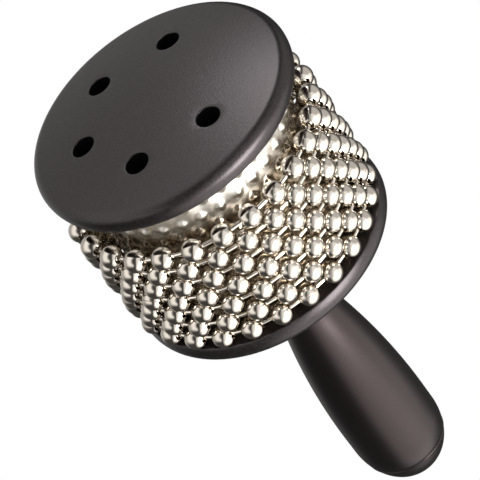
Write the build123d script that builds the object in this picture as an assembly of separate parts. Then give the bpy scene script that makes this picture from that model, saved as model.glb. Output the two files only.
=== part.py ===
from build123d import *
from math import atan, cos, degrees, pi, sin, sqrt, tan
import os

# A hand cabasa: an embossed steel drum between two moulded flanges, seven closed loops of ball
# chain lying loosely round the drum, and a bulb-shaped handle clamped on by one long bolt.
# Sizes are in millimetres. +Z runs up the axis from the handle to the top flange, and the
# origin is on the axis at the handle's widest ring, where a hand closes round it.

# Drum: a plain tube with a thin embossed sheet round it
drum_diameter = 74.5
drum_length = 62.5
sheet_thickness = 0.6
core_wall = 3.0
sheet_clearance = 0.05
bump_spacing = 7.1
bump_row_step = 6.2
bump_end_margin = 4.5
bump_base = 3.0
bump_tip = 0.9
bump_height = 1.3
bump_turn = -0.9

# Ball chain
loop_count = 7
beads_per_loop = 26
bead_diameter = 8.0
bead_wall = 0.5
bead_hole_diameter = 2.8
link_wire_diameter = 1.5
link_head_diameter = 3.1
link_head_inset = 1.75
chain_slack = 3.15
chain_row_step = 6.88
chain_turn = 2.7
rest_clearance = 0.2

# Flanges
rim_margin = 2.3
face_edge_inset = 4.2
flange_edge_height = 7.6
flange_crown_rise = 3.8
rim_widest_height = 3.4
rim_undercut = 0.76
rim_foot_round = 0.4
groove_depth = 2.0
groove_clearance = 0.15
sound_hole_diameter = 8.4
sound_hole_inset = 6.3
sound_hole_round = 0.4
sound_hole_places = 6

# Handle
handle_diameter = 34.5
handle_swell_radius = 298.0
neck_diameter = 20.0
neck_curve_radius = 60.0
neck_length = 19.3
seat_depth = 1.8
seat_clearance = 0.15
bulb_drop = 8.0
dome_height = 22.0
dome_flat_diameter = 6.0
cap_joint_drop = 8.6
joint_round = 0.5
pocket_diameter = 17.0
pocket_depth = 14.6
spigot_height = 3.5
spigot_wall = 2.0
spigot_clearance = 0.1
cap_hollow_depth = 6.0

# Clamping bolt
rod_diameter = 6.0
rod_clearance = 0.3
thread_engagement = 7.0
thread_clearance = 0.05
head_diameter = 10.0
head_height = 6.0
socket_across_flats = 5.0
socket_depth = 3.0
washer_diameter = 14.0
washer_thickness = 1.6
spring_washer_diameter = 10.6
spring_washer_thickness = 1.5
spring_washer_slit = 1.0
insert_diameter = 9.0
insert_length = 8.0
insert_clearance = 0.03
insert_waist_depth = 0.6
insert_waist_length = 2.0
centre_tube_diameter = 13.0

# Places along the axis, and the radii that follow from the sizes above
handle_radius = handle_diameter / 2
neck_radius = neck_diameter / 2
swell_centre = handle_radius - handle_swell_radius
neck_centre = neck_radius + neck_curve_radius
arc_reach = handle_swell_radius + neck_curve_radius
neck_start = sqrt(arc_reach**2 - (neck_centre - swell_centre) ** 2)
shoulder_z = neck_start + neck_length
dome_end_z = -bulb_drop - dome_height
joint_z = -bulb_drop - cap_joint_drop
pocket_floor_z = joint_z + pocket_depth

drum_radius = drum_diameter / 2
core_radius = drum_radius - sheet_thickness - sheet_clearance
core_bore_radius = core_radius - core_wall
bead_radius = bead_diameter / 2
chain_radius = drum_radius + bump_height + chain_slack + bead_radius
bead_step = 360 / beads_per_loop
flange_radius = chain_radius + rim_margin
rod_bore_radius = rod_diameter / 2 + rod_clearance

# Flange outline: the rim curves in below its widest ring, and its elliptical rounding above that
# stops where its slope is the crowned face's slope
rim_foot_turn = 2 * atan(rim_undercut / rim_widest_height)
rim_foot_radius = (rim_undercut**2 + rim_widest_height**2) / (2 * rim_undercut)
rim_rise = flange_edge_height - rim_widest_height
rim_centre = flange_radius - face_edge_inset
crown_slope = 2 * atan(flange_crown_rise / rim_centre)
rim_stop = pi / 2 - atan(face_edge_inset * tan(crown_slope) / rim_rise)
crown_edge_radius = rim_centre + face_edge_inset * cos(rim_stop)
crown_edge_height = rim_widest_height + rim_rise * sin(rim_stop)
crown_radius = (crown_edge_radius**2 + flange_crown_rise**2) / (2 * flange_crown_rise)
flange_centre_height = crown_edge_height + flange_crown_rise
bottom_side_z = shoulder_z - seat_depth + flange_centre_height
top_side_z = bottom_side_z + drum_length


def revolved(outline):
    """Solid of revolution about Z from a closed outline drawn as (radius, height)."""
    return revolve(Plane.XZ * make_face(outline), Axis.Z)


def ring(outer, inner, bottom, top):
    """Plain tube about Z between two heights."""
    middle = (bottom + top) / 2
    tube = Cylinder(outer, top - bottom) - Cylinder(inner, top - bottom)
    return Pos(0, 0, middle) * tube


def post(radius, bottom, top):
    """Plain cylinder about Z between two heights."""
    return Pos(0, 0, (bottom + top) / 2) * Cylinder(radius, top - bottom)


def flange_blank():
    """Crowned disc with a rounded rim, its drum side at height 0, with the drum's groove."""
    half = crown_edge_radius / 2
    crown_half = flange_centre_height - crown_radius + sqrt(crown_radius**2 - half**2)
    foot_centre = (flange_radius - rim_foot_radius, rim_widest_height)
    foot_turn = degrees(rim_foot_turn)
    outline = Polyline((0, flange_centre_height), (0, 0), (flange_radius - rim_undercut, 0))
    outline += CenterArc(foot_centre, rim_foot_radius, -foot_turn, foot_turn)
    outline += EllipticalCenterArc(
        (rim_centre, rim_widest_height), face_edge_inset, rim_rise, 0, arc_size=degrees(rim_stop)
    )
    outline += ThreePointArc(outline @ 1, (half, crown_half), (0, flange_centre_height))
    disc = revolved(outline)
    disc = fillet(disc.edges().group_by(Axis.Z)[0].filter_by(GeomType.CIRCLE), rim_foot_round)
    return disc - ring(
        drum_radius + groove_clearance, core_bore_radius - groove_clearance, 0, groove_depth
    )


def top_flange():
    """The playing-end disc: sound holes on one circle, one place left plain, insert pocket."""
    disc = flange_blank() - post(insert_diameter / 2 + insert_clearance, 0, insert_length)
    drill = Cylinder(sound_hole_diameter / 2, 3 * flange_centre_height)
    for place in range(1, sound_hole_places):
        turn = Rotation(0, 0, place * 360 / sound_hole_places)
        disc -= turn * Pos(core_bore_radius - sound_hole_inset, 0, 0) * drill
    mouths = [
        edge
        for edge in disc.edges().filter_by(GeomType.CIRCLE, reverse=True)
        if edge.center().Z > groove_depth
    ]
    disc = fillet(mouths, sound_hole_round)
    return Pos(0, 0, top_side_z) * disc


def bottom_flange():
    """The handle-end disc: bored for the bolt, with a shallow seat for the handle's shoulder."""
    disc = flange_blank() - post(rod_bore_radius, 0, flange_centre_height)
    seat_radius = neck_radius + seat_clearance
    disc -= post(seat_radius, flange_centre_height - seat_depth, flange_centre_height)
    return Pos(0, 0, bottom_side_z) * Rotation(180, 0, 0) * disc


def drum_core():
    """Tube that spaces the flanges, its ends on the floors of their grooves."""
    return ring(
        core_radius, core_bore_radius, bottom_side_z - groove_depth, top_side_z + groove_depth
    )


def drum_sleeve():
    """Steel sheet round the core, embossed with staggered rows of four-sided bumps."""
    root = sheet_thickness / 2
    sheet = ring(
        drum_radius,
        drum_radius - sheet_thickness,
        bottom_side_z - groove_depth,
        top_side_z + groove_depth,
    )
    slope = degrees(atan((bump_base - bump_tip) * cos(pi / 4) / (root + bump_height)))
    bump = extrude(RegularPolygon(bump_base, 4), amount=root + bump_height, taper=slope)
    bumps_per_row = round(pi * drum_diameter / bump_spacing)
    rows = int((drum_length - 2 * bump_end_margin) / bump_row_step) + 1
    middle_z = (bottom_side_z + top_side_z) / 2
    bumps = []
    for row in range(rows):
        height = middle_z + (row - (rows - 1) / 2) * bump_row_step
        stagger = 0.5 * ((row + 1) % 2)
        for place in range(bumps_per_row):
            turn = Rotation(0, 0, bump_turn + (place + stagger) * 360 / bumps_per_row)
            out = Pos(drum_radius - root, 0, height) * Rotation(0, 90, 0)
            bumps.append(turn * out * bump)
    return sheet + bumps


def chain_bead():
    """Hollow ball on the origin with a hole at each end of its Y axis."""
    hole = bead_hole_diameter / 2
    inner = bead_radius - bead_wall
    outer_end = sqrt(bead_radius**2 - hole**2)
    inner_end = sqrt(inner**2 - hole**2)
    outline = ThreePointArc((hole, -outer_end), (bead_radius, 0), (hole, outer_end))
    outline += Line((hole, outer_end), (hole, inner_end))
    outline += ThreePointArc((hole, inner_end), (inner, 0), (hole, -inner_end))
    outline += Line((hole, -inner_end), (hole, -outer_end))
    return Rotation(90, 0, 0) * revolved(outline)


def chain_link(centre_distance):
    """Dumb-bell wire along Y between two balls, with a head inside each ball."""
    wire = link_wire_diameter / 2
    head = link_head_diameter / 2
    reach = centre_distance / 2 - link_head_inset
    wire_end = reach - sqrt(head**2 - wire**2)
    outline = ThreePointArc((0, -reach - head), (head, -reach), (wire, -wire_end))
    outline += Line((wire, -wire_end), (wire, wire_end))
    outline += ThreePointArc((wire, wire_end), (head, reach), (0, reach + head))
    outline += Line((0, reach + head), (0, -reach - head))
    return Rotation(90, 0, 0) * revolved(outline)


def loop_place(loop):
    """Height of a loop, counted from the top, and its turn: each nests in the one below."""
    lowest = bottom_side_z + rest_clearance + bead_radius
    return lowest + (loop_count - loop) * chain_row_step, chain_turn + (loop - 1) * bead_step / 2


def around(piece, radius, height, first_turn):
    """Copies of a piece at equal steps round the axis, one for each ball of a loop."""
    copies = []
    for place in range(beads_per_loop):
        turn = Rotation(0, 0, first_turn + place * bead_step)
        copies.append((turn * Pos(radius, 0, height) * piece).solid())
    return Compound(copies)


def chain_loop(loop):
    """The balls and the links of one closed loop."""
    height, turn = loop_place(loop)
    half_step = pi / beads_per_loop
    link_radius = chain_radius * cos(half_step)
    beads = around(chain_bead(), chain_radius, height, turn)
    link = chain_link(2 * chain_radius * sin(half_step))
    links = around(link, link_radius, height, turn + bead_step / 2)
    return beads, links


def handle_form():
    """Outer form of the handle and its end cap in one piece."""
    meet = handle_swell_radius / arc_reach
    meet_point = (swell_centre + meet * (neck_centre - swell_centre), meet * neck_start)
    end_radius = dome_flat_diameter / 2
    outline = Polyline((neck_radius, neck_start), (neck_radius, shoulder_z), (0, shoulder_z))
    outline += Polyline((0, shoulder_z), (0, dome_end_z), (end_radius, dome_end_z))
    outline += EllipticalCenterArc(
        (end_radius, -bulb_drop), handle_radius - end_radius, dome_height, 270, arc_size=90
    )
    outline += Line((handle_radius, -bulb_drop), (handle_radius, 0))
    outline += TangentArc((handle_radius, 0), meet_point, tangent=(0, 1))
    outline += TangentArc((neck_radius, neck_start), meet_point, tangent=(0, -1))
    return revolved(outline)


def handle():
    """Grip: shoulder in the bottom flange's seat, bolt bore, and a pocket at the cap end."""
    grip = split(handle_form(), Plane.XY.offset(joint_z), keep=Keep.TOP)
    grip = fillet(grip.edges().group_by(Axis.Z)[0], joint_round)
    grip -= post(rod_bore_radius, joint_z, shoulder_z)
    return grip - post(pocket_diameter / 2, joint_z, pocket_floor_z)


def handle_end_cap():
    """Domed cap that closes the pocket, held by a spigot."""
    dome = split(handle_form(), Plane.XY.offset(joint_z), keep=Keep.BOTTOM)
    dome = fillet(dome.edges().group_by(Axis.Z)[-1], joint_round)
    spigot_radius = pocket_diameter / 2 - spigot_clearance
    hollow_radius = spigot_radius - spigot_wall
    dome += post(spigot_radius, joint_z, joint_z + spigot_height)
    return dome - post(hollow_radius, joint_z - cap_hollow_depth, joint_z + spigot_height)


def bolt_washer():
    """Flat washer on the pocket's floor."""
    return ring(
        washer_diameter / 2, rod_bore_radius, pocket_floor_z - washer_thickness, pocket_floor_z
    )


def spring_washer():
    """Split washer between the flat washer and the bolt's head."""
    top = pocket_floor_z - washer_thickness
    washer = ring(
        spring_washer_diameter / 2, rod_bore_radius, top - spring_washer_thickness, top
    )
    slit = Box(spring_washer_diameter, spring_washer_slit, 4 * spring_washer_thickness)
    return washer - Pos(spring_washer_diameter / 2, 0, top) * slit


def tie_rod():
    """Socket-head bolt from the handle's pocket up into the top flange's insert."""
    seat = pocket_floor_z - washer_thickness - spring_washer_thickness
    bolt = post(rod_diameter / 2, seat, top_side_z + thread_engagement)
    bolt += post(head_diameter / 2, seat - head_height, seat)
    socket = extrude(
        RegularPolygon(socket_across_flats / 2, 6, major_radius=False), amount=socket_depth
    )
    return bolt - Pos(0, 0, seat - head_height) * socket


def insert_nut():
    """Brass insert in the top flange, waisted so that the moulding grips it."""
    outer = insert_diameter / 2
    middle = top_side_z + insert_length / 2
    nut = ring(
        outer, rod_diameter / 2 + thread_clearance, top_side_z, top_side_z + insert_length
    )
    half = insert_waist_length / 2
    return nut - ring(outer, outer - insert_waist_depth, middle - half, middle + half)


def centre_tube():
    """Spacer round the bolt, between the flanges' drum sides."""
    return ring(centre_tube_diameter / 2, rod_bore_radius, bottom_side_z, top_side_z)


def all_pieces():
    """Every node of the cabasa by name."""
    pieces = {
        "top_flange": top_flange(),
        "bottom_flange": bottom_flange(),
        "drum_core": drum_core(),
        "drum_sleeve": drum_sleeve(),
        "centre_tube": centre_tube(),
        "handle": handle(),
        "handle_end_cap": handle_end_cap(),
        "tie_rod": tie_rod(),
        "bolt_washer": bolt_washer(),
        "spring_washer": spring_washer(),
        "insert_nut": insert_nut(),
    }
    for loop in range(1, loop_count + 1):
        beads, links = chain_loop(loop)
        pieces[f"chain_{loop}_beads"] = beads
        pieces[f"chain_{loop}_links"] = links
    return pieces


os.makedirs("parts", exist_ok=True)
for name, piece in all_pieces().items():
    export_step(piece, f"parts/{name}.step")
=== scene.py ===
import math
import random

import bmesh
import bpy
from mathutils import Matrix, Vector, geometry


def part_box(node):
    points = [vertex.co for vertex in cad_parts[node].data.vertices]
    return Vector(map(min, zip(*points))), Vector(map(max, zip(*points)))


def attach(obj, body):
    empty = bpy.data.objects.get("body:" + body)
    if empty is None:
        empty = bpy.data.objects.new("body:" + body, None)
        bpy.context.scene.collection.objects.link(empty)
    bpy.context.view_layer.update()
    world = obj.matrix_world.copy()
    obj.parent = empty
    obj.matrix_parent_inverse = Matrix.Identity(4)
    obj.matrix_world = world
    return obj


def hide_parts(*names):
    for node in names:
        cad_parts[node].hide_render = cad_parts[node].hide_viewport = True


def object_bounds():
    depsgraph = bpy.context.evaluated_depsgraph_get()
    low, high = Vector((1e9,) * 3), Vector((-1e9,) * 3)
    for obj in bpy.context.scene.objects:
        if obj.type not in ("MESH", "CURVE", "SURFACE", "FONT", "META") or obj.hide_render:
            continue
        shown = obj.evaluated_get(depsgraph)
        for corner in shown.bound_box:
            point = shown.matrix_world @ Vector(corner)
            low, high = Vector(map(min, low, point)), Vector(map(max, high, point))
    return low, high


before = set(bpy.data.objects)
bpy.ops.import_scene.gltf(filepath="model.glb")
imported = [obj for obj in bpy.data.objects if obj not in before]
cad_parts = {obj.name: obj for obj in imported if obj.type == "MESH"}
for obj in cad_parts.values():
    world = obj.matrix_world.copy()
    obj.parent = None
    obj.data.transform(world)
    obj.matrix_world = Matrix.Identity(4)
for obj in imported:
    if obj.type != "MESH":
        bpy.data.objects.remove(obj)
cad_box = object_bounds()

MM = 0.001

# Camera, in degrees and metres, measured from the photograph's circles
VIEW_AZIMUTH = 6.08
VIEW_ELEVATION = 38.93
VIEW_ROLL = 36.94
VIEW_DISTANCE = 0.96718
PAN_RIGHT = 0.0240
PAN_DOWN = 0.03934
LENS_MM = 220.6

# Heights and radii read from the frame
disc_low, disc_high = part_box("top_flange")
sheet_low, sheet_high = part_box("drum_sleeve")
grip_low, grip_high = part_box("handle")
TOP_SIDE = disc_low.z
BOTTOM_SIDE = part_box("bottom_flange")[1].z
MIDDLE = (TOP_SIDE + BOTTOM_SIDE) / 2
FLANGE_RADIUS = disc_high.x
DISC_HEIGHT = disc_high.z - disc_low.z
CORE_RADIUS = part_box("drum_core")[1].x
CAP_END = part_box("handle_end_cap")[0].z
DRUM_MIDDLE = Vector((0, 0, MIDDLE))
LOOPS = range(1, 8)

# Meshing
WELD = 0.002 * MM
SHARP_ANGLE = 32

# Flange form
FACE_EDGE_INSET = 4.2 * MM
EDGE_HEIGHT = 7.6 * MM
CROWN_RISE = 3.8 * MM
WIDEST_HEIGHT = 3.4 * MM
RIM_UNDERCUT = 0.76 * MM
RIM_STEPS = 18
UNDERCUT_STEPS = 8
FOOT_ROUND = 0.4 * MM
FOOT_STEPS = 5
CROWN_STEPS = 24
GROOVE_DEPTH = 2.0 * MM
GROOVE_CLEARANCE = 0.15 * MM
CORE_WALL = 3.0 * MM
HOLE_RADIUS = 4.2 * MM
HOLE_CIRCLE = 27.3 * MM
HOLE_ROUND = 0.4 * MM
HOLE_TURNS = (60, 120, 180, 240, 300)
HOLE_POINTS = 48
HOLE_ROUND_STEPS = 5
INSERT_RADIUS = 4.53 * MM
INSERT_DEPTH = 8.0 * MM
SEAT_RADIUS = 10.15 * MM
SEAT_DEPTH = 1.8 * MM
ROD_BORE = 3.3 * MM
FLANGE_TURNS = 240
FACE_GRID = 2.2 * MM
RIM_RISE = EDGE_HEIGHT - WIDEST_HEIGHT
RIM_CENTRE = FLANGE_RADIUS - FACE_EDGE_INSET
CROWN_SLOPE = 2 * math.atan(CROWN_RISE / RIM_CENTRE)
RIM_STOP = math.pi / 2 - math.atan(FACE_EDGE_INSET * math.tan(CROWN_SLOPE) / RIM_RISE)
FACE_RADIUS = RIM_CENTRE + FACE_EDGE_INSET * math.cos(RIM_STOP)
CROWN_RADIUS = (FACE_RADIUS**2 + CROWN_RISE**2) / (2 * CROWN_RISE)

# Handle form
GRIP_RADIUS = 17.25 * MM
SWELL_RADIUS = 298.0 * MM
NECK_RADIUS = 10.0 * MM
NECK_CURVE = 60.0 * MM
BULB_DROP = 8.0 * MM
DOME_FLAT = 3.0 * MM
JOINT_ROUND = 0.5 * MM
JOINT_BLEND = 1.6 * JOINT_ROUND
JOINT_STEPS = 6
GRIP_STEPS = 110
DOME_STEPS = 40
POCKET_RADIUS = 8.5 * MM
POCKET_DEPTH = 14.6 * MM
SPIGOT_RADIUS = 8.4 * MM
SPIGOT_WALL = 2.0 * MM
SPIGOT_HEIGHT = 3.5 * MM
CAP_HOLLOW = 6.0 * MM
HANDLE_TURNS = 160

# Embossed sheet
SHEET_RADIUS = 37.25 * MM
SHEET_THICKNESS = 0.6 * MM
BUMPS_PER_ROW = 33
BUMP_ROWS = 9
BUMP_ROW_STEP = 6.2 * MM
BUMP_TURN = -0.9
BUMP_HEIGHT = 0.9 * MM
BUMP_REACH = 2.7 * MM
BUMP_SQUARENESS = 1.5
SHEET_COLUMNS_PER_BUMP = 16
SHEET_ROW_PITCH = 0.45 * MM
# Fades of the painted shade below the top chain and of the bright band above it
SHADE_FADE = 6.0 * MM
BRIGHT_BAND_FADE = 1.0 * MM

# Ball chain
BEADS = 26
BEAD_RADIUS = 4.0 * MM
BEAD_WALL = 0.5 * MM
BEAD_HOLE = 1.4 * MM
BEAD_LIP = 0.22 * MM
BEAD_OUTER_STEPS = 22
BEAD_INNER_STEPS = 8
SEAM_WIDTH = 0.006
CHAIN_RADIUS = 45.7 * MM
CHAIN_TURN = 2.7
LINK_WIRE = 0.75 * MM
LINK_HEAD = 1.55 * MM
LINK_HEAD_INSET = 1.75 * MM
LINK_HEAD_STEPS = 10
BEAD_PLAY = 0.14 * MM
BEAD_SETTLE = 0.06 * MM
LOOP_SQUEEZE = 0.72 * MM
LOOP_SHIFT = 0.38 * MM
BEAD_TURNS = 36
LINK_TURNS = 14

# Studio
FLOOR_DROP = 1.5
FLOOR_SIZE = 14.0


class Socket:
    """A shader socket that can be used in Python arithmetic."""

    def __init__(self, finish, socket):
        self.finish = finish
        self.socket = socket

    def maths(self, operation, first, second):
        settings = {"operation": operation}
        return self.finish.node("ShaderNodeMath", settings, {0: first, 1: second})

    def __add__(self, other):
        return self.maths("ADD", self, other)

    def __radd__(self, other):
        return self.maths("ADD", other, self)

    def __sub__(self, other):
        return self.maths("SUBTRACT", self, other)

    def __mul__(self, other):
        return self.maths("MULTIPLY", self, other)

    def __rmul__(self, other):
        return self.maths("MULTIPLY", other, self)

    def __gt__(self, other):
        return self.maths("GREATER_THAN", self, other)

    def __lt__(self, other):
        return self.maths("LESS_THAN", self, other)

    def __or__(self, other):
        return self.maths("MAXIMUM", self, other)


class Finish:
    """The node tree of one material or of the world."""

    def __init__(self, owner):
        self.owner = owner
        owner.use_nodes = True
        self.tree = owner.node_tree
        self.tree.nodes.clear()

    def plug(self, socket, value):
        """Links another socket, or sets a plain value."""
        if isinstance(value, Socket):
            self.tree.links.new(value.socket, socket)
        else:
            socket.default_value = value

    def node(self, kind, settings=None, sockets=None, out=0):
        """Adds a node: its settings first, then the values or links of its sockets."""
        made = self.tree.nodes.new(kind)
        for name, value in (settings or {}).items():
            setattr(made, name, value)
        for name, value in (sockets or {}).items():
            self.plug(made.inputs[name], value)
        return Socket(self, made.outputs[out]) if made.outputs else None

    def noise(self, place, scale, detail, roughness=0.5):
        """Smooth noise about 0.5, with so many details to a metre."""
        sockets = {"Vector": place, "Scale": scale, "Detail": detail, "Roughness": roughness}
        return self.node("ShaderNodeTexNoise", None, sockets)

    def blend(self, factor, low, high):
        """Mixes two colours."""
        return self.node("ShaderNodeMix", {"data_type": "RGBA"}, {0: factor, 6: low, 7: high}, 2)

    def ease(self, value, start, stop):
        """Rises smoothly from 0 at one value to 1 at another."""
        sockets = {"Value": value, "From Min": start, "From Max": stop}
        return self.node("ShaderNodeMapRange", {"interpolation_type": "SMOOTHSTEP"}, sockets)

    def along(self, direction, axis):
        """How far a direction points along an axis."""
        settings = {"operation": "DOT_PRODUCT"}
        return self.node("ShaderNodeVectorMath", settings, {0: direction, 1: axis}, "Value")

    def bump(self, height, distance, strength):
        """A normal that follows a height; the distance is the height of 1, in metres."""
        sockets = {"Height": height, "Distance": distance, "Strength": strength}
        return self.node("ShaderNodeBump", None, sockets)

    def seen_directly(self):
        """1 where the camera looks straight or through glass, 0 for lighting and reflections."""
        camera = self.node("ShaderNodeLightPath", out="Is Camera Ray")
        through = self.node("ShaderNodeLightPath", out="Is Transmission Ray")
        return camera | through

    def surface(self, sockets):
        """Ends a material with one principled shader."""
        shader = self.node("ShaderNodeBsdfPrincipled", None, sockets)
        self.node("ShaderNodeOutputMaterial", None, {"Surface": shader})
        return self.owner


def new_finish(name):
    """A new material with an empty node tree."""
    return Finish(bpy.data.materials.new(name))


def charcoal_moulding():
    """Satin charcoal plastic with the fine grain of a spark-eroded mould."""
    finish = new_finish("charcoal_moulding")
    place = finish.node("ShaderNodeTexCoord", out="Object")
    grain = finish.noise(place, 1500.0, 2.0, 0.6)
    cloud = finish.noise(place, 45.0, 3.0)
    speckle = finish.ease(grain, 0.3, 0.7)
    tone = finish.blend(speckle, (0.003, 0.0023, 0.0023, 1), (0.017, 0.0135, 0.0135, 1))
    return finish.surface({
        "Base Color": tone,
        "Roughness": 0.29 + 0.05 * cloud,
        "Specular IOR Level": 0.5,
        "Specular Tint": (1.0, 0.88, 0.91, 1),
        "Normal": finish.bump(grain, 0.06 * MM, 0.8),
    })


def charcoal_grip():
    """Smoother satin charcoal plastic of the handle."""
    finish = new_finish("charcoal_grip")
    place = finish.node("ShaderNodeTexCoord", out="Object")
    grain = finish.noise(place, 1500.0, 2.0, 0.5)
    cloud = finish.noise(place, 30.0, 3.0)
    tone = finish.blend(cloud, (0.0030, 0.0025, 0.0024, 1), (0.0042, 0.0036, 0.0034, 1))
    return finish.surface({
        "Base Color": tone,
        "Roughness": 0.30 + 0.06 * cloud,
        "Specular IOR Level": 0.46,
        "Specular Tint": (1.0, 0.79, 0.79, 1),
        "Normal": finish.bump(grain, 0.025 * MM, 0.7),
    })


def bright_nickel():
    """Bright nickel plate of the balls, with a fine closing seam along each ball."""
    finish = new_finish("bright_nickel")
    place = finish.node("ShaderNodeTexCoord", out="Object")
    around = finish.node("ShaderNodeSeparateXYZ", None, {0: finish.node("ShaderNodeTexCoord", out="UV")})
    seam = (around < SEAM_WIDTH) | (around > 1 - SEAM_WIDTH)
    haze = finish.noise(place, 420.0, 3.0)
    tone = finish.blend(seam, (0.575, 0.53, 0.47, 1), (0.26, 0.21, 0.16, 1))
    return finish.surface({
        "Base Color": tone,
        "Metallic": 1.0,
        "Roughness": 0.10 + 0.06 * haze + 0.2 * seam,
        "Normal": finish.bump(finish.noise(place, 160.0, 1.0) - 0.4 * seam, 0.05 * MM, 0.5),
    })


def polished_sheet():
    """Stainless sheet: satin next to the disc, its own tone raised there as a painted reflection; smoother
    from the top chain down, where dark brown is painted shade.
    """
    finish = new_finish("polished_sheet")
    place = finish.node("ShaderNodeTexCoord", out="Object")
    haze = finish.noise(place, 260.0, 4.0, 0.6)
    height = finish.node("ShaderNodeSeparateXYZ", None, {0: place}, "Z")
    chain_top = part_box("chain_1_beads")[1].z
    # Painted shade: dark brown below the top chain; the band next to the disc has a painted bright
    # reflection
    near_disc = finish.ease(height, chain_top - SHADE_FADE, chain_top + BRIGHT_BAND_FADE)
    shaded_tone = finish.blend(haze, (0.30, 0.243, 0.172, 1), (0.36, 0.30, 0.22, 1))
    bright_band_tone = finish.blend(haze, (0.87, 0.83, 0.76, 1), (0.91, 0.88, 0.82, 1))
    return finish.surface({
        "Base Color": finish.blend(near_disc, shaded_tone, bright_band_tone),
        "Metallic": 1.0,
        "Roughness": 0.17 + 0.05 * haze + 0.15 * near_disc,
    })


def clouded(name, low, high, scale, detail, metallic, roughness, spread):
    """A plain finish: its tone drifts from low to high and its roughness rises by up to the spread."""
    finish = new_finish(name)
    place = finish.node("ShaderNodeTexCoord", out="Object")
    cloud = finish.noise(place, scale, detail)
    return finish.surface({
        "Base Color": finish.blend(cloud, (*low, 1), (*high, 1)),
        "Metallic": metallic,
        "Roughness": roughness + spread * cloud,
    })


def drawn_wire():
    """Bright drawn wire of the links."""
    return clouded("drawn_wire", (0.68, 0.63, 0.56), (0.76, 0.72, 0.65),
                   scale=700.0, detail=2.0, metallic=1.0, roughness=0.10, spread=0.10)


def bore_painted_shade():
    """Painted shade on the wall of a sound hole: near black, matt and almost without reflection, its tone
    drifting a little.
    """
    finish = new_finish("bore_painted_shade")
    place = finish.node("ShaderNodeTexCoord", out="Object")
    cloud = finish.noise(place, 900.0, 2.0)
    tone = finish.blend(cloud, (0.0015, 0.0014, 0.0014, 1), (0.004, 0.004, 0.004, 1))
    return finish.surface({"Base Color": tone, "Roughness": 0.9, "Specular IOR Level": 0.05})


def black_core():
    """Plain black plastic inside the drum."""
    return clouded("black_core", (0.006, 0.006, 0.006), (0.012, 0.012, 0.012),
                   scale=120.0, detail=3.0, metallic=0.0, roughness=0.6, spread=0.15)


def bolt_steel():
    """Zinc-plated steel of the bolt and its washers."""
    return clouded("bolt_steel", (0.48, 0.48, 0.50), (0.62, 0.62, 0.62),
                   scale=300.0, detail=4.0, metallic=1.0, roughness=0.28, spread=0.2)


def insert_brass():
    """Turned brass of the threaded insert."""
    return clouded("insert_brass", (0.66, 0.47, 0.19), (0.80, 0.62, 0.30),
                   scale=350.0, detail=3.0, metallic=1.0, roughness=0.25, spread=0.15)


def arc(centre, size, first, last, steps):
    """Points of an elliptical arc as (radius, height), from one angle to another in degrees."""
    points = []
    for step in range(steps + 1):
        angle = math.radians(first + (last - first) * step / steps)
        points.append((centre[0] + size[0] * math.cos(angle), centre[1] + size[1] * math.sin(angle)))
    return points


class Blank:
    """A mesh in the making: vertices, faces, corner UVs and the faces of a second finish."""

    def __init__(self):
        self.points = []
        self.faces = []
        self.corners = []
        self.dark = []

    def lathe(self, outline, turns, closed=False, place=None):
        """Turns an outline of (radius, height) points about Z; a closed outline joins its ends."""
        place = place or Matrix()
        rings = []
        for radius, height in outline:
            ring = []
            for turn in range(1 if radius < 1e-9 else turns):
                angle = 2 * math.pi * turn / turns
                ring.append(len(self.points))
                spot = Vector((radius * math.cos(angle), radius * math.sin(angle), height))
                self.points.append(place @ spot)
            rings.append(ring)
        count = len(outline)
        for step in range(count if closed else count - 1):
            low, high = rings[step], rings[(step + 1) % count]
            for turn in range(turns):
                self.strip(low, high, turn, turns, step / count, (step + 1) / count)

    def strip(self, low, high, turn, turns, v_low, v_high):
        """One face between two rings; a ring of one point closes to a triangle."""
        following = (turn + 1) % turns
        u_low, u_high = turn / turns, (turn + 1) / turns
        if len(low) == 1:
            face = (low[0], high[following], high[turn])
            corner = ((u_low, v_low), (u_high, v_high), (u_low, v_high))
        elif len(high) == 1:
            face = (low[turn], low[following], high[0])
            corner = ((u_low, v_low), (u_high, v_low), (u_low, v_high))
        else:
            face = (low[turn], low[following], high[following], high[turn])
            corner = ((u_low, v_low), (u_high, v_low), (u_high, v_high), (u_low, v_high))
        self.faces.append(face)
        self.corners.append(corner)

    def patch(self, points, faces, dark=False):
        """Adds loose faces without UVs; dark ones take the piece's second finish."""
        first = len(self.points)
        self.points.extend(points)
        for face in faces:
            if dark:
                self.dark.append(len(self.faces))
            self.faces.append(tuple(first + corner for corner in face))
            self.corners.append(((0.5, 0.5),) * len(face))

    def piece(self, name, body, slot, finish, *replaced):
        """Makes the object, welds it, keeps its corners sharp and puts it on its body."""
        mesh = bpy.data.meshes.new(name)
        mesh.from_pydata([tuple(point) for point in self.points], [], self.faces)
        uv = mesh.uv_layers.new(name="turned")
        flat = [value for corner in self.corners for spot in corner for value in spot]
        uv.data.foreach_set("uv", flat)
        for face in self.dark:
            mesh.polygons[face].material_index = 1
        work = bmesh.new()
        work.from_mesh(mesh)
        bmesh.ops.remove_doubles(work, verts=work.verts, dist=WELD)
        bmesh.ops.recalc_face_normals(work, faces=work.faces)
        for face in work.faces:
            face.smooth = True
        for edge in work.edges:
            if len(edge.link_faces) == 2:
                edge.smooth = edge.calc_face_angle() < math.radians(SHARP_ANGLE)
        work.to_mesh(mesh)
        work.free()
        mesh.materials.append(finish)
        made = bpy.data.objects.new(name, mesh)
        bpy.context.scene.collection.objects.link(made)
        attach(made, body)
        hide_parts(*replaced)
        return made


def crown_height(radius):
    """Height of a flange's crowned face above its drum side at a radius."""
    return DISC_HEIGHT - CROWN_RADIUS + math.sqrt(CROWN_RADIUS**2 - radius**2)


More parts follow.
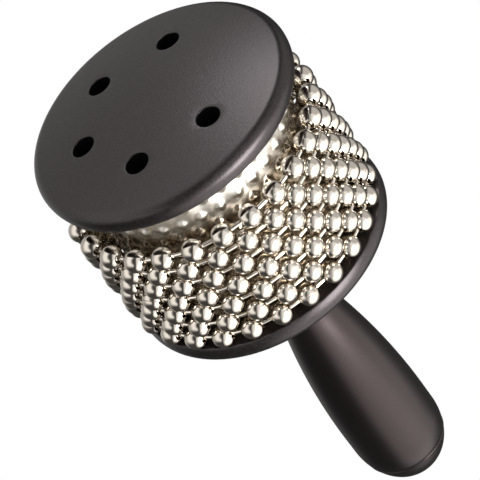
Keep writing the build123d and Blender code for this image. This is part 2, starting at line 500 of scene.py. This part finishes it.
def rim_outline():
    """Flange outline from the face's edge round the rim to the drum side."""
    size = (FACE_EDGE_INSET, RIM_RISE)
    rounding = arc((RIM_CENTRE, WIDEST_HEIGHT), size, math.degrees(RIM_STOP), 0, RIM_STEPS)
    reach = (RIM_UNDERCUT**2 + WIDEST_HEIGHT**2) / (2 * RIM_UNDERCUT)
    lower_centre = FLANGE_RADIUS - reach
    drop = WIDEST_HEIGHT - FOOT_ROUND
    turn = -math.asin(drop / (reach - FOOT_ROUND))
    lower = arc((lower_centre, WIDEST_HEIGHT), (reach, reach), 0, math.degrees(turn), UNDERCUT_STEPS)
    foot_centre = (lower_centre + math.sqrt((reach - FOOT_ROUND) ** 2 - drop**2), FOOT_ROUND)
    foot = arc(foot_centre, (FOOT_ROUND, FOOT_ROUND), math.degrees(turn), -90, FOOT_STEPS)
    return rounding + lower[1:] + foot[1:]


def groove_outline():
    """Flange outline across the drum's groove on the drum side, from outside to inside."""
    outer = SHEET_RADIUS + GROOVE_CLEARANCE
    inner = CORE_RADIUS - CORE_WALL - GROOVE_CLEARANCE
    return [(outer, 0), (outer, GROOVE_DEPTH), (inner, GROOVE_DEPTH), (inner, 0)]


def ring_points(radius, count, centre=(0.0, 0.0), lag=0.0):
    """Points of a circle in the plane."""
    points = []
    for step in range(count):
        angle = 2 * math.pi * (step + lag) / count
        points.append(Vector((centre[0] + radius * math.cos(angle), centre[1] + radius * math.sin(angle))))
    return points


def hole_centres():
    """Centres of the sound holes in the disc's plane."""
    return [(HOLE_CIRCLE * math.cos(math.radians(turn)), HOLE_CIRCLE * math.sin(math.radians(turn)))
            for turn in HOLE_TURNS]


def pierced_face(inner, outer, hole):
    """Flat triangles of a disc or annulus between two radii, with the sound holes left out."""
    spots = []
    loops = []

    def add_loop(points):
        first = len(spots)
        spots.extend(points)
        loops.extend((first + step, first + (step + 1) % len(points)) for step in range(len(points)))

    add_loop(ring_points(outer, FLANGE_TURNS))
    if inner > 0:
        add_loop(ring_points(inner, FLANGE_TURNS))
    centres = hole_centres()
    for centre in centres:
        add_loop(ring_points(hole, HOLE_POINTS, centre))
    rings = int((outer - inner) / FACE_GRID)
    for step in range(1, rings):
        radius = inner + (outer - inner) * step / rings
        count = max(8, round(2 * math.pi * radius / FACE_GRID))
        for spot in ring_points(radius, count, lag=0.5 * (step % 2)):
            if min((spot - Vector(centre)).length for centre in centres) > hole + 0.5 * FACE_GRID:
                spots.append(spot)
    if inner <= 0:
        spots.append(Vector((0.0, 0.0)))
    flat, _, faces, *_ = geometry.delaunay_2d_cdt(spots, loops, [], 0, 1e-7)
    kept = []
    for face in faces:
        middle = sum((flat[corner] for corner in face), Vector((0.0, 0.0))) / 3
        in_hole = min((middle - Vector(centre)).length for centre in centres) < hole
        if middle.length > inner and not in_hole:
            kept.append(face)
    return flat, kept


def top_flange_piece(finish, bore):
    """The crowned disc with its sound holes."""
    blank = Blank()
    lift = Matrix.Translation((0, 0, TOP_SIDE))
    groove = groove_outline()
    blank.lathe(rim_outline() + groove, FLANGE_TURNS, place=lift)
    mouth = HOLE_RADIUS + HOLE_ROUND
    flat, faces = pierced_face(0, FACE_RADIUS, mouth)
    blank.patch([lift @ Vector((*spot, crown_height(spot.length))) for spot in flat], faces)
    flat, faces = pierced_face(INSERT_RADIUS, groove[-1][0], HOLE_RADIUS)
    blank.patch([lift @ Vector((*spot, 0)) for spot in flat], faces)
    pocket = [(INSERT_RADIUS, 0), (INSERT_RADIUS, INSERT_DEPTH), (0, INSERT_DEPTH)]
    blank.lathe(pocket, FLANGE_TURNS, place=lift)
    for centre in hole_centres():
        hole_wall(blank, centre, lift)
    disc = blank.piece("playing_disc", "frame", "charcoal_moulding", finish, "top_flange")
    # Second finish: painted shade for the straight walls of the sound holes
    disc.data.materials.append(bore)


def hole_wall(blank, centre, lift):
    """Rounded mouth and straight wall of one sound hole; the straight wall takes the painted shade."""
    rings = []
    mouth = (HOLE_RADIUS + HOLE_ROUND, -HOLE_ROUND)
    for radius, depth in arc(mouth, (-HOLE_ROUND, HOLE_ROUND), 90, 0, HOLE_ROUND_STEPS):
        ring = ring_points(radius, HOLE_POINTS, centre)
        rings.append([Vector((*spot, crown_height(spot.length) + depth)) for spot in ring])
    rings.append([Vector((*spot, 0)) for spot in ring_points(HOLE_RADIUS, HOLE_POINTS, centre)])
    for step in range(len(rings) - 1):
        points = [lift @ spot for ring in rings[step:step + 2] for spot in ring]
        faces = []
        for turn in range(HOLE_POINTS):
            following = (turn + 1) % HOLE_POINTS
            faces.append((turn, following, HOLE_POINTS + following, HOLE_POINTS + turn))
        blank.patch(points, faces, dark=step == len(rings) - 2)


def bottom_flange_piece(finish):
    """The plain disc on the handle side, crowned towards the handle."""
    seat = DISC_HEIGHT - SEAT_DEPTH
    outline = [(ROD_BORE, 0), (ROD_BORE, seat), (SEAT_RADIUS, seat)]
    for step in range(CROWN_STEPS):
        radius = SEAT_RADIUS + (FACE_RADIUS - SEAT_RADIUS) * step / CROWN_STEPS
        outline.append((radius, crown_height(radius)))
    outline += rim_outline() + groove_outline()
    blank = Blank()
    flip = Matrix.Translation((0, 0, BOTTOM_SIDE)) @ Matrix.Rotation(math.pi, 4, "X")
    blank.lathe(outline, FLANGE_TURNS, closed=True, place=flip)
    blank.piece("handle_disc", "frame", "charcoal_moulding", finish, "bottom_flange")


def handle_side(low, high):
    """Outer outline of the grip between two heights: bulb, swell and neck."""
    reach = SWELL_RADIUS + NECK_CURVE
    swell_centre = GRIP_RADIUS - SWELL_RADIUS
    neck_centre = NECK_RADIUS + NECK_CURVE
    neck_start = math.sqrt(reach**2 - (neck_centre - swell_centre) ** 2)
    meet = neck_start * SWELL_RADIUS / reach
    points = []
    for step in range(GRIP_STEPS + 1):
        height = low + (high - low) * step / GRIP_STEPS
        if height < -BULB_DROP:
            radius = dome_radius(height)
        elif height < 0:
            radius = GRIP_RADIUS
        elif height < meet:
            radius = swell_centre + math.sqrt(SWELL_RADIUS**2 - height**2)
        elif height < neck_start:
            radius = neck_centre - math.sqrt(NECK_CURVE**2 - (neck_start - height) ** 2)
        else:
            radius = NECK_RADIUS
        points.append((radius, height))
    return points


def dome_radius(height):
    """Radius of the domed end at a height below the bulb."""
    along = (-BULB_DROP - height) / (-BULB_DROP - CAP_END)
    return DOME_FLAT + (GRIP_RADIUS - DOME_FLAT) * math.sqrt(max(0.0, 1 - along**2))


def grip_piece(finish):
    """The bulb-shaped handle with its bore and end pocket."""
    joint = grip_low.z
    corner = (dome_radius(joint) - JOINT_ROUND, joint + JOINT_ROUND)
    floor = joint + POCKET_DEPTH
    outline = [(POCKET_RADIUS, joint)]
    outline += arc(corner, (JOINT_ROUND, JOINT_ROUND), -90, 0, JOINT_STEPS)
    outline += handle_side(joint + JOINT_BLEND, grip_high.z)
    outline += [(ROD_BORE, grip_high.z), (ROD_BORE, floor), (POCKET_RADIUS, floor)]
    blank = Blank()
    blank.lathe(outline, HANDLE_TURNS, closed=True)
    blank.piece("grip", "frame", "charcoal_grip", finish, "handle")


def end_cap_piece(finish):
    """The domed cap at the handle's end, with its spigot."""
    joint = grip_low.z
    corner = (dome_radius(joint) - JOINT_ROUND, joint - JOINT_ROUND)
    hollow = SPIGOT_RADIUS - SPIGOT_WALL
    floor = joint - CAP_HOLLOW
    top = joint + SPIGOT_HEIGHT
    outline = [(0, floor), (hollow, floor), (hollow, top), (SPIGOT_RADIUS, top), (SPIGOT_RADIUS, joint)]
    outline += arc(corner, (JOINT_ROUND, JOINT_ROUND), 90, 0, JOINT_STEPS)
    drop = -BULB_DROP - CAP_END
    first = math.degrees(math.asin((-BULB_DROP - joint + JOINT_BLEND) / drop))
    outline += arc((DOME_FLAT, -BULB_DROP), (GRIP_RADIUS - DOME_FLAT, -drop), first, 90, DOME_STEPS)
    outline += [(0, CAP_END)]
    blank = Blank()
    blank.lathe(outline, HANDLE_TURNS)
    blank.piece("grip_end_cap", "frame", "charcoal_grip", finish, "handle_end_cap")


def bump_rise(angle, height):
    """How far the sheet stands out at an angle in degrees and a height."""
    row = round((height - MIDDLE) / BUMP_ROW_STEP + (BUMP_ROWS - 1) / 2)
    if not 0 <= row < BUMP_ROWS:
        return 0.0
    pitch = 360 / BUMPS_PER_ROW
    stagger = 0.5 * ((row + 1) % 2)
    across = (angle - BUMP_TURN) / pitch - stagger
    across = (across - round(across)) * math.radians(pitch) * SHEET_RADIUS / BUMP_REACH
    up = (height - MIDDLE - (row - (BUMP_ROWS - 1) / 2) * BUMP_ROW_STEP) / BUMP_REACH
    off = (abs(across) ** BUMP_SQUARENESS + abs(up) ** BUMP_SQUARENESS) ** (1 / BUMP_SQUARENESS)
    near = max(0.0, 1 - off)
    return BUMP_HEIGHT * near * near * (3 - 2 * near)


def sheet_piece(finish):
    """The polished sheet with its staggered rows of embossed bumps."""
    columns = BUMPS_PER_ROW * SHEET_COLUMNS_PER_BUMP
    rows = round((sheet_high.z - sheet_low.z) / SHEET_ROW_PITCH)
    inner = SHEET_RADIUS - SHEET_THICKNESS
    points = []
    for row in range(rows + 1):
        height = sheet_low.z + (sheet_high.z - sheet_low.z) * row / rows
        for column in range(columns):
            angle = 360 * column / columns
            radius = SHEET_RADIUS + bump_rise(angle, height)
            turn = math.radians(angle)
            points.append((radius * math.cos(turn), radius * math.sin(turn), height))
    for height in (sheet_high.z, sheet_low.z):
        for column in range(columns):
            turn = 2 * math.pi * column / columns
            points.append((inner * math.cos(turn), inner * math.sin(turn), height))
    faces = []
    for row in range(rows + 3):
        low, high = row * columns, ((row + 1) % (rows + 3)) * columns
        for column in range(columns):
            following = (column + 1) % columns
            faces.append((low + column, low + following, high + following, high + column))
    blank = Blank()
    blank.patch(points, faces)
    blank.piece("embossed_sheet", "frame", "polished_sheet", finish, "drum_sleeve")


def bead_outline():
    """Closed outline of a hollow ball about its hole axis, with rolled lips at the holes."""
    hole_angle = math.degrees(math.acos((BEAD_HOLE + BEAD_LIP) / BEAD_RADIUS))
    inner = BEAD_RADIUS - BEAD_WALL
    inner_angle = math.degrees(math.acos(BEAD_HOLE / inner))
    outer_side = arc((0, 0), (BEAD_RADIUS, BEAD_RADIUS), -hole_angle, hole_angle, BEAD_OUTER_STEPS)
    inner_side = arc((0, 0), (inner, inner), inner_angle, -inner_angle, BEAD_INNER_STEPS)
    lip = BEAD_RADIUS * math.sin(math.radians(hole_angle)) - 0.6 * BEAD_LIP
    return [(BEAD_HOLE, -lip)] + outer_side + [(BEAD_HOLE, lip)] + inner_side


def link_outline(length):
    """Outline of a dumb-bell wire about its own axis."""
    reach = length / 2 - LINK_HEAD_INSET
    neck = math.degrees(math.acos(LINK_WIRE / LINK_HEAD))
    low_head = arc((0, -reach), (LINK_HEAD, LINK_HEAD), -90, neck, LINK_HEAD_STEPS)
    high_head = arc((0, reach), (LINK_HEAD, LINK_HEAD), -neck, 90, LINK_HEAD_STEPS)
    low_head[0] = (0, -reach - LINK_HEAD)
    high_head[-1] = (0, reach + LINK_HEAD)
    return low_head + high_head


def aim(point, direction, roll=0.0):
    """Matrix that puts local Z along a direction at a point, rolled about it."""
    turn = Vector(direction).to_track_quat("Z", "Y").to_matrix().to_4x4()
    return Matrix.Translation(point) @ turn @ Matrix.Rotation(roll, 4, "Z")


def chain_pieces(loop, bead_finish, link_finish):
    """The balls and links of one slack loop, a little oval, each ball off its even place."""
    play = random.Random(loop)
    right, _, _ = camera_axes()
    narrow = math.atan2(right.y, right.x)
    low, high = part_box(f"chain_{loop}_beads")
    height = (low.z + high.z) / 2
    first = CHAIN_TURN + (loop - 1) * 180 / BEADS
    spots = []
    for place in range(BEADS):
        angle = math.radians(first + place * 360 / BEADS)
        angle += play.uniform(-1, 1) * BEAD_PLAY / CHAIN_RADIUS
        inward = BEAD_SETTLE + play.uniform(0, 1) * BEAD_PLAY
        aside = math.cos(angle - narrow)
        radius = CHAIN_RADIUS - inward - LOOP_SQUEEZE * aside**2 - LOOP_SHIFT * aside
        lift = play.uniform(-1, 1) * BEAD_PLAY
        spots.append(Vector((radius * math.cos(angle), radius * math.sin(angle), height + lift)))
    beads = Blank()
    links = Blank()
    outline = bead_outline()
    for place, spot in enumerate(spots):
        following = spots[(place + 1) % BEADS]
        roll = play.uniform(0, 2 * math.pi)
        axis = aim(spot, following - spots[place - 1], roll)
        beads.lathe(outline, BEAD_TURNS, closed=True, place=axis)
        span = following - spot
        links.lathe(link_outline(span.length), LINK_TURNS, place=aim((spot + following) / 2, span))
    body = f"chain_{loop}"
    beads.piece(f"ball_loop_{loop}", body, "nickel_beads", bead_finish, f"chain_{loop}_beads")
    links.piece(f"link_loop_{loop}", body, "link_wire", link_finish, f"chain_{loop}_links")


def camera_axes():
    """Right, up and back directions of the camera."""
    azimuth, elevation = math.radians(VIEW_AZIMUTH), math.radians(VIEW_ELEVATION)
    level = math.cos(elevation)
    back = Vector((math.sin(azimuth) * level, -math.cos(azimuth) * level, math.sin(elevation)))
    side = Vector((math.cos(azimuth), math.sin(azimuth), 0))
    upright = back.cross(side)
    turn = math.radians(VIEW_ROLL)
    right = side * math.cos(turn) - upright * math.sin(turn)
    return right, back.cross(right), back


def set_camera():
    """The camera at the photograph's place."""
    right, up, back = camera_axes()
    lens = bpy.data.cameras.new("camera")
    lens.lens = LENS_MM
    camera = bpy.data.objects.new("camera", lens)
    spot = Vector((0, 0, TOP_SIDE)) + right * PAN_RIGHT - up * PAN_DOWN + back * VIEW_DISTANCE
    turn = Matrix((right, up, back)).transposed().to_4x4()
    camera.matrix_world = Matrix.Translation(spot) @ turn
    bpy.context.scene.collection.objects.link(camera)
    bpy.context.scene.camera = camera


def towards(across, above):
    """The direction at angles in degrees to the right of and above the camera, seen from the drum."""
    right, up, back = camera_axes()
    across, above = math.radians(across), math.radians(above)
    level = math.cos(above)
    return right * math.sin(across) * level + up * math.sin(above) + back * math.cos(across) * level


def lamp_sheet(name, spot, back, width, height, radiance, shape):
    """An evenly bright rectangle or ellipse at a spot, its lit side turned against the back direction."""
    _, up, _ = camera_axes()
    right = up.cross(back).normalized()
    turn = Matrix((right, back.cross(right), back)).transposed().to_4x4()
    lamp = bpy.data.lights.new(name, "AREA")
    lamp.shape = shape
    lamp.size = width
    lamp.size_y = height
    area = width * height * (math.pi / 4 if shape == "ELLIPSE" else 1)
    lamp.energy = radiance * math.pi * area
    holder = bpy.data.objects.new(name, lamp)
    holder.matrix_world = Matrix.Translation(spot) @ turn
    holder.visible_camera = False
    bpy.context.scene.collection.objects.link(holder)


def softbox(name, across, above, distance, width, height, radiance):
    """A soft lamp that faces the drum, at angles to the right of and above the camera."""
    back = towards(across, above)
    lamp_sheet(name, DRUM_MIDDLE + back * distance, back, width, height, radiance, "ELLIPSE")


def front_sheet(name, left, right, low, high, ahead, radiance):
    """A lit cloth across the camera's view, between sides measured from the drum's middle."""
    aside, up, back = camera_axes()
    spot = DRUM_MIDDLE + aside * (left + right) / 2 + up * (low + high) / 2 + back * ahead
    lamp_sheet(name, spot, back, right - left, high - low, radiance, "RECTANGLE")


def set_world():
    """White wherever it is seen directly; in reflections a light tent with a dark slit for the camera."""
    world = bpy.data.worlds.new("studio")
    bpy.context.scene.world = world
    finish = Finish(world)
    direction = finish.node("ShaderNodeTexCoord", out="Generated")
    aside, above, ahead = [finish.along(direction, axis) for axis in camera_axes()]
    # The left cloth stops at the slit and at the picture's bottom, and is brighter towards the camera
    left_cloth = finish.ease(aside, -0.12, -0.38) * finish.ease(ahead, 0.93, 0.62)
    left_cloth = left_cloth * finish.ease(above + 0.25 * ahead, -0.85, -0.40)
    brighter = 0.62 * finish.ease(ahead, -0.2, 0.1) + 0.24 * finish.ease(ahead, 0.05, 0.4)
    left_cloth = left_cloth * (0.54 + brighter)
    # The right cloth fades out behind the drum and at the picture's bottom
    right_cloth = finish.ease(aside, -0.02, 0.25) * finish.ease(ahead, -0.75, -0.1)
    right_cloth = right_cloth * finish.ease(above, -0.95, -0.6)
    # Two brighter patches on the right
    low_glow = finish.ease(finish.along(direction, towards(79, -43)), 0.70, 0.90)
    side_glow = finish.ease(finish.along(direction, towards(86, -4)), 0.80, 0.96)
    room = 0.08 + left_cloth + 0.70 * right_cloth + (1.8 * low_glow | 1.1 * side_glow)
    lit = finish.node("ShaderNodeBackground", None, {"Color": (1, 1, 1, 1), "Strength": 0.5})
    cream = (1.0, 0.985, 0.965, 1)
    mirrored = finish.node("ShaderNodeBackground", None, {"Color": cream, "Strength": room})
    seen = finish.node("ShaderNodeBackground", None, {"Color": (1, 1, 1, 1), "Strength": 1.0})
    glossy = finish.node("ShaderNodeLightPath", out="Is Glossy Ray")
    indirect = finish.node("ShaderNodeMixShader", None, {0: glossy, 1: lit, 2: mirrored})
    mixed = finish.node("ShaderNodeMixShader", None, {0: finish.seen_directly(), 1: indirect, 2: seen})
    finish.node("ShaderNodeOutputWorld", None, {"Surface": mixed})


def set_floor():
    """Plain pale floor well below the held object, white to the eye and left out of reflections."""
    finish = new_finish("white_floor")
    lit = finish.node("ShaderNodeBsdfDiffuse", None, {"Color": (0.6, 0.6, 0.6, 1)})
    seen = finish.node("ShaderNodeEmission", None, {"Color": (1, 1, 1, 1), "Strength": 1.0})
    mixed = finish.node("ShaderNodeMixShader", None, {0: finish.seen_directly(), 1: lit, 2: seen})
    finish.node("ShaderNodeOutputMaterial", None, {"Surface": mixed})
    mesh = bpy.data.meshes.new("floor")
    half = FLOOR_SIZE / 2
    level = cad_box[0].z - FLOOR_DROP
    corners = [(-half, -half, level), (half, -half, level), (half, half, level), (-half, half, level)]
    mesh.from_pydata(corners, [], [(0, 1, 2, 3)])
    mesh.materials.append(finish.owner)
    floor = bpy.data.objects.new("floor", mesh)
    floor.visible_glossy = False
    bpy.context.scene.collection.objects.link(floor)


moulding = charcoal_moulding()
grip = charcoal_grip()
top_flange_piece(moulding, bore_painted_shade())
bottom_flange_piece(moulding)
grip_piece(grip)
end_cap_piece(grip)
sheet_piece(polished_sheet())
nickel = bright_nickel()
wire = drawn_wire()
for loop in LOOPS:
    chain_pieces(loop, nickel, wire)

# The CAD pieces inside the drum and the handle keep their shape and take a finish
inner_finishes = {
    black_core(): ("drum_core", "centre_tube"),
    bolt_steel(): ("tie_rod", "bolt_washer", "spring_washer"),
    insert_brass(): ("insert_nut",),
}
for finish, nodes in inner_finishes.items():
    for node in nodes:
        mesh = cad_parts[node].data
        mesh.materials.clear()
        mesh.materials.append(finish)

bpy.context.scene.view_settings.view_transform = "Standard"
set_camera()
set_world()
set_floor()
softbox("right_softbox", across=50, above=-16, distance=0.4, width=0.27, height=0.35, radiance=7.0)
softbox("right_softbox_middle", across=50, above=-16, distance=0.39, width=0.17, height=0.23, radiance=9.0)
softbox("top_softbox", across=-79, above=70, distance=0.9, width=0.43, height=0.30, radiance=5.0)
front_sheet("right_cloth", left=0.0, right=0.35, low=-0.50, high=0.10, ahead=0.165, radiance=0.55)
